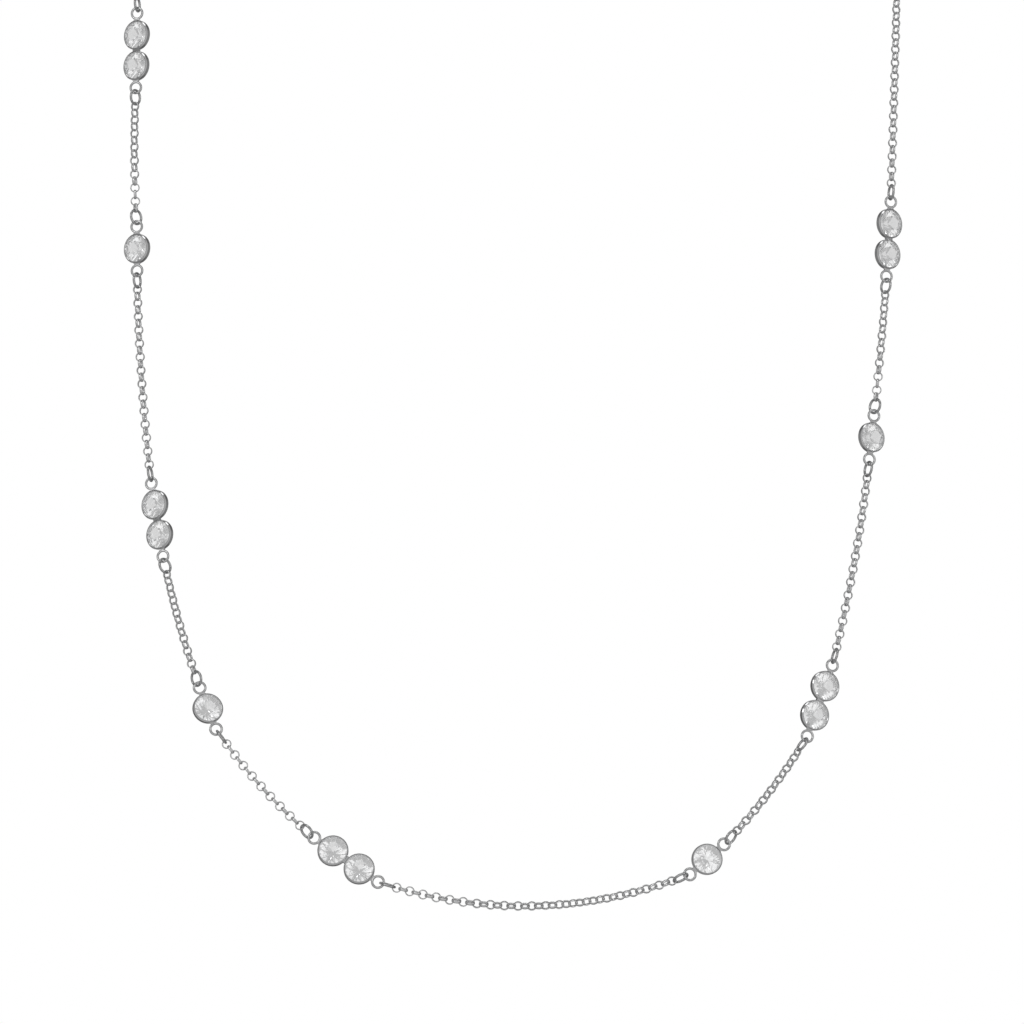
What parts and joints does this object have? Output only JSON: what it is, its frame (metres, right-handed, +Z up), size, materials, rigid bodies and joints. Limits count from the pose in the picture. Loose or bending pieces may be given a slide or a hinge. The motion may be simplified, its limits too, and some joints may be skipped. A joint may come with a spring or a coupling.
{
  "type": "cubic zirconia station necklace",
  "caption": "Closed station necklace: clear round stones in thin open bezels, singly and in soldered pairs, joined by fine round-link chain and shaped as it hangs when worn.",
  "frame": {"origin": "middle of the loop at the nape of the neck, at the centre of the clasp's ring, where the necklace hangs", "axes": "+Z up, +Y towards the wearer's back, so the front faces -Y, +X across to the right as seen from the front"},
  "size_m": [0.1336, 0.1009, 0.2001],
  "materials": {
    "stone": "clear faceted cubic zirconia",
    "setting": "polished silver",
    "ring": "polished silver wire",
    "chain": "polished silver links",
    "clasp": "polished silver"
  },
  "bodies": {
    "root": {"stone_1": "stone", "stone_2": "stone", "stone_3": "stone", "stone_4": "stone", "stone_5": "stone", "stone_6": "stone", "stone_7": "stone", "stone_8": "stone", "stone_9": "stone", "stone_10": "stone", "stone_11": "stone", "stone_12": "stone", "stone_13": "stone", "stone_14": "stone", "setting_1": "setting", "setting_2": "setting", "setting_3": "setting", "setting_4": "setting", "setting_5": "setting", "setting_6": "setting", "setting_7": "setting", "setting_8": "setting", "setting_9": "setting", "jump_ring_1": "ring", "jump_ring_2": "ring", "jump_ring_3": "ring", "jump_ring_4": "ring", "jump_ring_5": "ring", "jump_ring_6": "ring", "jump_ring_7": "ring", "jump_ring_8": "ring", "jump_ring_9": "ring", "jump_ring_10": "ring", "jump_ring_11": "ring", "jump_ring_12": "ring", "jump_ring_13": "ring", "jump_ring_14": "ring", "jump_ring_15": "ring", "jump_ring_16": "ring", "jump_ring_17": "ring", "jump_ring_18": "ring", "chain_1": "chain", "chain_2": "chain", "chain_3": "chain", "chain_4": "chain", "chain_5": "chain", "chain_6": "chain", "chain_7": "chain", "chain_8": "chain", "chain_left_back": "chain", "chain_right_back": "chain", "clasp": "clasp", "clasp_ring": "ring", "end_ring": "ring"}
  },
  "joints": []
}
